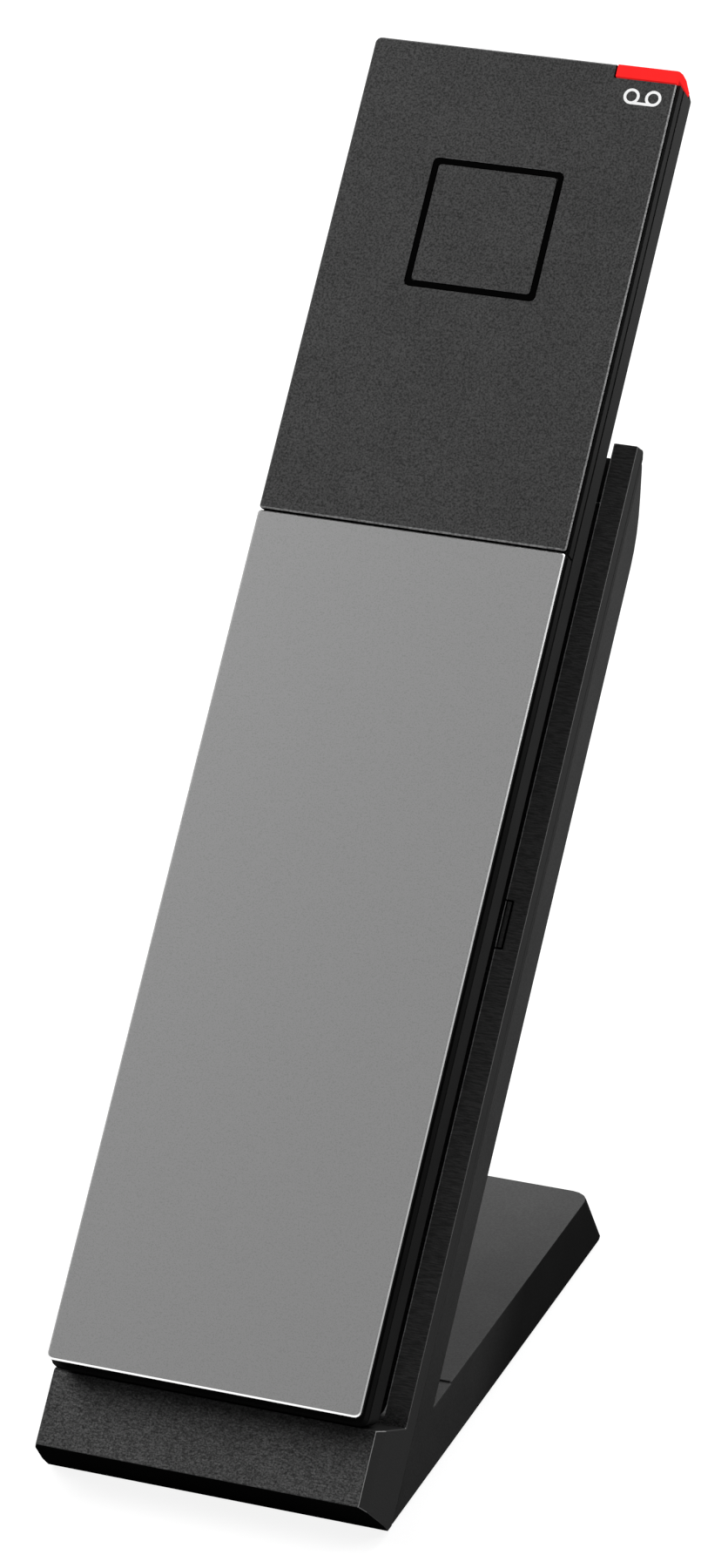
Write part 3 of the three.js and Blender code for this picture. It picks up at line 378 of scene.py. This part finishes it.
def cradle_front_finish():
    """Leather-like on the lip, with pebbles and creases across, and finely rippled on the
    rails. The edges get painted highlights, the rails' inner edges most. The rails' fronts
    get painted light, and the sides, the underside of the lip and the shelf low down get
    painted shade."""
    finish = grained("cradle_grain", mottle=0.45, roughness=0.58, relief=0.4, gloss=0.0)
    height, front = finish.height(), finish.ramp(finish.facing(OUT), 0.8, 0.95)
    pebbles = finish.cells(0.4 * MM, (1.0, 1.6, 1.6))
    creases = finish.noise(0.6 * MM, detail=3.0, roughness=0.65, stretch=(0.45, 1.6, 1.6))
    ripples = finish.noise(0.5 * MM, stretch=(0.3, 2.5, 2.5))
    dimples = finish.ramp(pebbles, 0.1, 0.8, 1.3, 0.6)
    leather = finish.times(*finish.tones, dimples, finish.vary(creases, 0.2))
    rippled = finish.times(finish.tones[1], finish.vary(ripples, 0.3))
    grain = finish.only_where(front, finish.ramp(height, *LEATHER_END, leather, rippled))

    # Painted light: the rails' fronts, in the handset's shadow, are lighter than the lip,
    # most towards the lower end.
    lighter = finish.ramp(height, 10 * MM, 120 * MM, 1.5, 1.15)
    rails = finish.only_where(front, finish.ramp(height, *LEATHER_END, 1.0, lighter))
    # Painted shade: faces turned to either side are darker.
    side = finish.ramp(finish.aside("Normal"), 0.75, 0.9, 1.0, 0.72)
    # Painted shade on faces turned downwards, such as the underside of the lip.
    under = finish.ramp(finish.along(ABOVE, "Normal"), -0.2, -0.6, 1.0, 0.1)
    # Painted shadow of the handset on the shelf faces low down.
    low = finish.ramp(height, 10 * MM, 30 * MM, 0.3, 1.0)
    shelf = finish.ramp(finish.along(LIP_SHELF, "Normal"), 0.9, 0.96, 1.0, low)

    # Painted highlights: a light line on the rails' inner edges, fainter on the left rail,
    # and lighter rounded edges, most where they don't face left.
    inner = finish.times(
        worn_inner_edge(finish),
        finish.ramp(finish.along(RIGHT), -1 * MM, 1 * MM, 0.4, 1.0),
        finish.ramp(height, 3 * MM, 4 * MM),
    )
    edge_highlight_gain = finish.ramp(finish.facing(-RIGHT), 0.1, 0.4, 6.5, 2.0)
    outer = finish.times(edge_mask(finish), edge_highlight_gain)
    painted_edge_highlights = finish.calculate("ADD", 1.0, finish.calculate("MAXIMUM", outer, inner))
    finish.paint(grey(0.062), grain, side, rails, painted_edge_highlights, under, shelf)
    finish.bump(pebbles, 0.5, LEATHER_HEIGHT)
    finish.bump(creases, 0.4, LEATHER_HEIGHT)
    return finish


def cradle_rear_finish():
    """Satin housing, with painted shade low on its right side and along the foot."""
    finish = grained(
        "cradle_satin", grain=0.3 * MM, mottle=0.1, relief=0.25, roughness=0.55, gloss=0.0
    )
    # Painted shade, only on faces turned to the right: darker low down and towards the rear.
    low = finish.ramp(finish.along(ABOVE), 0.0, 60 * MM, 0.6, 1.0)
    foot = finish.ramp(finish.depth(), 40 * MM, 60 * MM, 1.0, 0.4)
    beside = finish.ramp(finish.facing(RIGHT), 0.5, 0.9)
    side = finish.only_where(beside, finish.times(low, foot))
    finish.paint(grey(0.06), *finish.tones, side)
    return finish


def pad_finish():
    """Soft grey pads with a dark outline, and the rail's painted inner edge highlight running
    on.
    """
    finish = grained(
        "pad_rubber", grain=0.3 * MM, mottle=0.3, relief=0.3, roughness=0.8, gloss=0.0
    )
    outline = finish.ramp(finish.facing(OUT), 0.8, 0.97, 0.1, 1.0)
    seam = finish.ramp(finish.aside(), RAIL_INNER + 0.4 * MM, RAIL_INNER + 0.5 * MM, 0.1, 1.0)
    lines = finish.times(outline, seam)
    # The painted highlight of the rails' inner edge runs on over the pads.
    total = finish.calculate("ADD", lines, worn_inner_edge(finish))
    finish.paint(grey(0.062), *finish.tones, total)
    return finish


def lens_finish():
    finish = Finish("lamp_red")
    finish.set(Roughness=0.5, Specular_IOR_Level=0.0)
    finish.set(Emission_Color=(1.0, 0.02, 0.02, 1.0), Emission_Strength=0.55)
    finish.paint((0.5, 0.013, 0.013), finish.vary(finish.noise(2 * MM), 0.06))
    finish.bump(finish.noise(0.5 * MM), 0.08, 0.01 * MM)
    return finish


def build_finishes():
    return {
        "upper_panel": upper_panel_finish(),
        "grey_plate": plate_finish(),
        "ring": moulded(
            "ring_black", 0.0015, grain=0.2 * MM, relief=0.1, roughness=0.5, gloss=0.0
        ),
        "lens": lens_finish(),
        "key_shell": key_shell_finish(),
        "back_shell": back_shell_finish(),
        "cradle_front": cradle_front_finish(),
        "cradle_rear": cradle_rear_finish(),
        "key": moulded("key_satin", 0.07, relief=0.2, roughness=0.42, gloss=0.1),
        "pad": pad_finish(),
        "rubber": moulded(
            "rubber_black", 0.012, grain=0.4 * MM, relief=0.5, roughness=0.85, gloss=0.05
        ),
        "board": coloured("board_green", (0.015, 0.11, 0.045), grain=0.8 * MM, mottle=0.25),
        "sleeve": coloured("cell_sleeve", (0.025, 0.15, 0.38), roughness=0.35, gloss=0.5),
        "capsule": moulded("capsule_grey", 0.3, roughness=0.4, gloss=0.5),
        "steel": metal("screw_steel", (0.32, 0.32, 0.33), 0.3, 0.45),
        "gold": metal("contact_gold", (0.8, 0.55, 0.2), 0.2, 0.35),
        "print_white": coloured("print_white", (0.85, 0.85, 0.85), mottle=0.03, relief=0.1),
        "print_green": coloured("print_green", (0.03, 0.42, 0.1), mottle=0.05, relief=0.1),
        "print_red": coloured("print_red", (0.62, 0.02, 0.015), mottle=0.05, relief=0.1),
    }


FINISHES = {name: finish.material for name, finish in build_finishes().items()}

LOOKS = {
    "upper_panel": "upper_panel",
    "battery_cover": "grey_plate",
    "square_ring": "ring",
    "message_lamp_lens": "lens",
    "lamp_led": "lens",
    "handset_back_shell": "back_shell",
    "handset_key_shell": "key_shell",
    "battery_pack": "sleeve",
    "main_board": "board",
    "charging_board": "rubber",
    "keypad_mat": "rubber",
    "receiver": "capsule",
    "ringer": "capsule",
    "microphone": "capsule",
    "contact_block": "key_shell",
    "cradle_front": "cradle_front",
    "cradle_rear": "cradle_rear",
    "bottom_cover": "cradle_rear",
    "ballast": "steel",
    "inlet_jack": "ring",
}
FAMILIES = {
    "handset_contact": "gold",
    "charging_pin": "gold",
    "handset_screw": "steel",
    "base_screw": "steel",
    "rubber_foot": "rubber",
    "rest_strip": "rubber",
    "retention_pad": "pad",
    "key_": "key",
}


def look_of(node):
    if node in LOOKS:
        return LOOKS[node]
    return next(look for start, look in FAMILIES.items() if node.startswith(start))


# ---- moulded edges on the CAD solids ----
EDGES = {  # bevel widths in millimetres
    "upper_panel": 0.06,
    "battery_cover": 0.06,
    "message_lamp_lens": 0.15,
    "handset_back_shell": 0.12,
    "cradle_front": 0.15,
    "cradle_rear": 0.3,
    "bottom_cover": 0.15,
    "retention_pad_left": 0.12,
    "retention_pad_right": 0.12,
    "contact_block": 0.1,
    "inlet_jack": 0.1,
}
SHARP = math.radians(36)  # edges above this are bevelled, and stay sharp elsewhere
FLAT_SIDED = math.radians(6)  # for the cradle's front, whose faces are all flat
COPLANAR = math.radians(0.5)  # facets within this are joined before the bevel
WELD = 0.002 * MM  # the CAD meshes come as separate triangles


def smooth_by_angle(limit):
    """A node group that shades a mesh smooth, apart from edges sharper than a limit."""
    group = bpy.data.node_groups.new("smooth_by_angle", "GeometryNodeTree")
    for way in ("INPUT", "OUTPUT"):
        group.interface.new_socket("Geometry", in_out=way, socket_type="NodeSocketGeometry")
    start = group.nodes.new("NodeGroupInput")
    angle = group.nodes.new("GeometryNodeInputMeshEdgeAngle")
    sharp = group.nodes.new("FunctionNodeCompare")
    sharp.inputs["B"].default_value = limit
    shade = group.nodes.new("GeometryNodeSetShadeSmooth")
    shade.domain = "EDGE"
    shade.inputs["Shade Smooth"].default_value = False
    end = group.nodes.new("NodeGroupOutput")
    group.links.new(start.outputs[0], shade.inputs["Geometry"])
    group.links.new(angle.outputs["Unsigned Angle"], sharp.inputs["A"])
    group.links.new(sharp.outputs[0], shade.inputs["Selection"])
    group.links.new(shade.outputs[0], end.inputs[0])
    return group


SMOOTH, FACETED = smooth_by_angle(SHARP), smooth_by_angle(FLAT_SIDED)


def soften(node, width):
    """Joins coplanar facets, then rounds the edges by a small radius, as a mould does."""
    flatten = node.modifiers.new("flatten", "DECIMATE")
    flatten.decimate_type = "DISSOLVE"
    flatten.angle_limit = COPLANAR
    bevel = node.modifiers.new("edges", "BEVEL")
    bevel.width = width * MM
    bevel.segments = 2
    bevel.limit_method = "ANGLE"
    bevel.angle_limit = SHARP
    bevel.use_clamp_overlap = False


def dress(name, node):
    """Gives a CAD node its finish, its edges and its smooth shading."""
    node.data.materials.clear()
    node.data.materials.append(FINISHES[look_of(name)])
    for polygon in node.data.polygons:
        polygon.use_smooth = True
    weld = node.modifiers.new("weld", "WELD")
    weld.merge_threshold = WELD
    if name in EDGES:
        soften(node, EDGES[name])
    smooth = node.modifiers.new("smooth", "NODES")
    smooth.node_group = FACETED if name == "cradle_front" else SMOOTH
    level = node.modifiers.new("level", "WEIGHTED_NORMAL")
    level.mode = "FACE_AREA"
    level.weight = 100
    level.keep_sharp = True


for node_name, node_object in NODES.items():
    dress(node_name, node_object)

# ---- printed marks ----
PRINT = 0.02 * MM  # how far a print stands out of its surface
ROUND = 24  # segments of a full circle
CORNER = 2  # segments of a small round


def arc(x, y, radius, start, end, steps):
    """Points on an arc, with angles in degrees."""
    turns = [math.radians(start + (end - start) * step / steps) for step in range(steps + 1)]
    return [(x + radius * math.cos(turn), y + radius * math.sin(turn)) for turn in turns]


def circle(x, y, radius):
    return arc(x, y, radius, 0, 360, ROUND)[:-1]


def drawing(loops):
    """A flat curve from closed loops of points in millimetres; inner loops are holes."""
    curve = bpy.data.curves.new("drawing", "CURVE")
    curve.dimensions = "2D"
    curve.fill_mode = "BOTH"
    for loop in loops:
        spline = curve.splines.new("POLY")
        spline.points.add(len(loop) - 1)
        for point, (x, y) in zip(spline.points, loop):
            point.co = (x, y, 0.0, 1.0)
        spline.use_cyclic_u = True
    return curve


def lettering(text, size):
    curve = bpy.data.curves.new("lettering", "FONT")
    curve.body = text
    curve.size = size
    curve.align_x = "CENTER"
    curve.align_y = "CENTER"
    return curve


def printed(name, curve, origin, right, up, finish, body):
    """Makes a thin closed print from a flat curve, laid on a surface at an origin."""
    out = right.cross(up)
    curve.extrude = PRINT / MM
    source = bpy.data.objects.new("source", curve)
    bpy.context.scene.collection.objects.link(source)
    evaluated = source.evaluated_get(bpy.context.evaluated_depsgraph_get())
    mesh = bpy.data.meshes.new_from_object(evaluated)
    bpy.data.objects.remove(source)
    build = bmesh.new()
    build.from_mesh(mesh)
    bmesh.ops.remove_doubles(build, verts=build.verts, dist=PRINT / MM / 10)
    bmesh.ops.recalc_face_normals(build, faces=build.faces)
    turn = Matrix((right, up, out)).transposed().to_4x4()
    build.transform(Matrix.Translation(origin) @ turn @ Matrix.Scale(MM, 4))
    build.to_mesh(mesh)
    build.free()
    mesh.materials.clear()
    mesh.materials.append(FINISHES[finish])
    piece = bpy.data.objects.new(name, mesh)
    bpy.context.scene.collection.objects.link(piece)
    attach(piece, body)


def message_symbol(spread, radius, stroke):
    """Two closed rings joined by a line under them."""
    inner = radius - stroke
    end = math.degrees(math.asin(-inner / radius))
    left = arc(-spread, 0.0, radius, 270, end, ROUND)
    right = [(-x, y) for x, y in reversed(left)]
    return [left + right, circle(-spread, 0.0, inner), circle(spread, 0.0, inner)]


def receiver_symbol(turn):
    """A telephone receiver: a bow between an earpiece and a mouthpiece."""
    outer, inner, pad = 1.9, 1.25, 0.75
    points = arc(0, 0, outer, 15, 165, ROUND) + arc(0, 0, pad, 165, 138, CORNER)
    points += arc(0, 0, inner, 138, 42, ROUND) + arc(0, 0, pad, 42, 15, CORNER)
    spin = Matrix.Rotation(math.radians(turn), 2)
    middle = Vector((0.0, 1.1))
    return [[tuple(spin @ (Vector(point) - middle)) for point in points]]


def envelope_symbol():
    """An outline of an envelope with its flap."""
    wide, high, stroke = 2.1, 1.4, 0.36
    x, y = wide - stroke, high - stroke
    frame_loop = [(-wide, -high), (wide, -high), (wide, high), (-wide, high)]
    flap = [(-x + stroke, y), (x - stroke, y), (0.0, stroke / 2)]
    body_loop = [(-x, y - stroke / 2), (-x, -y), (x, -y), (x, y - stroke / 2), (0.0, -stroke)]
    return [frame_loop, flap, body_loop]


def mute_symbol():
    """A ring with a bar across it."""
    radius, stroke = 1.8, 0.4
    inner = radius - stroke
    gap = math.degrees(math.asin(stroke / 2 / inner))
    upper = arc(0, 0, inner, 45 + gap, 225 - gap, ROUND)
    lower = arc(0, 0, inner, 225 + gap, 405 - gap, ROUND)
    return [circle(0, 0, radius), upper, lower]


def bar_loop(half_x, half_y):
    return [(-half_x, -half_y), (half_x, -half_y), (half_x, half_y), (-half_x, half_y)]


def plus_symbol():
    long, half = BAR
    quarter = [(long, -half), (long, half), (half, half), (half, long)]
    turned = quarter + [(-half, long), (-half, half), (-long, half), (-long, -half)]
    return [turned + [(-half, -half), (-half, -long), (half, -long), (half, -half)]]


# Sizes in millimetres.
DIGIT_SIZE = 4.4
BAR = (1.5, 0.25)  # half length and half stroke of the plus and minus
MESSAGE_RINGS = (1.76, 1.3, 0.45)  # half their spacing, radius and stroke
MESSAGE_PLACE = (20.1, 5.0)  # across, and down from the handset's top

SYMBOLS = {
    "key_talk": (receiver_symbol(0), "print_green"),
    "key_off": (receiver_symbol(180), "print_red"),
    "key_message": (envelope_symbol(), "print_white"),
    "key_mute": (mute_symbol(), "print_white"),
    "key_volume_up": (plus_symbol(), "print_white"),
    "key_volume_down": ([bar_loop(*BAR)], "print_white"),
}
DIGITS = {f"key_{digit}": str(digit) for digit in range(10)}
DIGITS |= {"key_star": "*", "key_hash": "#"}


def print_keys():
    """A symbol or a digit in the middle of each key."""
    for key in sorted(SYMBOLS) + sorted(DIGITS):
        left, right = reach(key, RIGHT)
        low, high = reach(key, UP)
        front = reach(key, OUT)[0]
        middle = RIGHT * (left + right) / 2 + UP * (low + high) / 2 + OUT * front
        if key in SYMBOLS:
            loops, finish = SYMBOLS[key]
            curve = drawing(loops)
        else:
            curve, finish = lettering(DIGITS[key], DIGIT_SIZE), "print_white"
        printed(f"{key}_print", curve, middle, -RIGHT, UP, finish, key)


def print_message_symbol():
    """The generic message symbol under the lamp, at the top right of the face."""
    curve = drawing(message_symbol(*MESSAGE_RINGS))
    across, down = MESSAGE_PLACE
    origin = on_face(across * MM, LENGTH - down * MM)
    printed("message_symbol", curve, origin, RIGHT, UP, "print_white", "handset")


print_keys()
print_message_symbol()

# ---- floor, lamps and camera ----
FLOOR_GLOW = 0.88  # the light that the floor itself adds where it is seen
FLOOR_LEVEL = 0.15  # its grey, which takes the object's shadow
FLOOR_HALF = 6.0  # half its side, in metres
AMBIENT = 0.18  # the surroundings' light on the object
WHITE = (1.0, 1.0, 1.0, 1.0)


def seen_directly(tree):
    """1 where the camera sees a surface, also in a reflection or through glass, and 0
    where light falls on it."""
    ray = tree.nodes.new("ShaderNodeLightPath")
    seen = ray.outputs["Is Camera Ray"]
    for other in ("Is Glossy Ray", "Is Transmission Ray"):
        either = tree.nodes.new("ShaderNodeMath")
        either.operation = "MAXIMUM"
        tree.links.new(seen, either.inputs[0])
        tree.links.new(ray.outputs[other], either.inputs[1])
        seen = either.outputs[0]
    return seen


def backdrop_finish():
    """White to the camera and in reflections, with the object's shadow on it."""
    finish = Finish("floor_white")
    finish.set(Base_Color=(*grey(FLOOR_LEVEL), 1.0), Roughness=0.9)
    finish.set(Specular_IOR_Level=0.0, Emission_Color=WHITE)
    glow = finish.times(seen_directly(finish.tree), FLOOR_GLOW)
    finish.feed(finish.shader.inputs["Emission Strength"], glow)
    return finish.material


def make_floor():
    mesh = bpy.data.meshes.new("floor")
    corners = [(x, y, 0.0) for x, y in bar_loop(FLOOR_HALF, FLOOR_HALF)]
    mesh.from_pydata(corners, [], [(0, 1, 2, 3)])
    mesh.materials.append(backdrop_finish())
    floor = bpy.data.objects.new("floor", mesh)
    bpy.context.scene.collection.objects.link(floor)


def make_world():
    """White where it is seen, and dimmer as a light on the object."""
    world = bpy.data.worlds.new("studio")
    bpy.context.scene.world = world
    world.use_nodes = True
    tree = world.node_tree
    background = tree.nodes["Background"]
    strength = tree.nodes.new("ShaderNodeMapRange")
    strength.inputs["To Min"].default_value = AMBIENT
    strength.inputs["To Max"].default_value = 1.0
    tree.links.new(seen_directly(tree), strength.inputs["Value"])
    tree.links.new(strength.outputs["Result"], background.inputs["Strength"])
    background.inputs["Color"].default_value = WHITE


# Each lamp's direction from the object, its distance and diameter in metres, and the level
# of light that it gives a surface facing it, 1 being white.
LAMPS = {
    "key_lamp": ((-0.68, -0.235, 0.70), 1.6, 1.1, 1.32),
    "side_lamp": ((0.8, 0.4, 0.5), 0.4, 0.3, 0.6),
    "back_lamp": ((0.05, 0.75, 0.66), 1.3, 0.8, 1.1),
}
LAMP_TARGET = Vector((0.0, 0.0, 0.1))


def make_lamp(name, direction, distance, size, level):
    """A round soft lamp that is turned to the middle of the object."""
    lamp = bpy.data.lights.new(name, "AREA")
    lamp.shape = "DISK"
    lamp.size = size
    lamp.energy = level * math.pi**2 * distance**2
    holder = bpy.data.objects.new(name, lamp)
    holder.location = LAMP_TARGET + Vector(direction).normalized() * distance
    holder.rotation_mode = "QUATERNION"
    holder.rotation_quaternion = (LAMP_TARGET - holder.location).to_track_quat("-Z", "Y")
    bpy.context.scene.collection.objects.link(holder)


# The camera looks along the photograph's direction. Its aim is given from the middle of
# the lower edge of the handset's face.
AZIMUTH, ELEVATION = math.radians(20.853), math.radians(24.424)
DISTANCE = 946.22 * MM
AIM = on_face(0.0, 0.0) + Vector((9.343, 43.005, 81.170)) * MM
LENS_MM, SENSOR_MM = 147.18, 36.0
NEAREST, FARTHEST = 0.01, 50.0


def make_camera():
    flat = math.cos(ELEVATION)
    back = Vector((math.sin(AZIMUTH) * flat, -math.cos(AZIMUTH) * flat, math.sin(ELEVATION)))
    camera = bpy.data.cameras.new("camera")
    camera.lens = LENS_MM
    camera.sensor_width = SENSOR_MM
    camera.clip_start, camera.clip_end = NEAREST, FARTHEST
    holder = bpy.data.objects.new("camera", camera)
    holder.location = AIM + back * DISTANCE
    holder.rotation_mode = "QUATERNION"
    holder.rotation_quaternion = (-back).to_track_quat("-Z", "Y")
    bpy.context.scene.collection.objects.link(holder)
    bpy.context.scene.camera = holder


make_floor()
make_world()
for lamp_name, lamp_settings in LAMPS.items():
    make_lamp(lamp_name, *lamp_settings)
make_camera()

bpy.context.scene.view_settings.view_transform = "Standard"
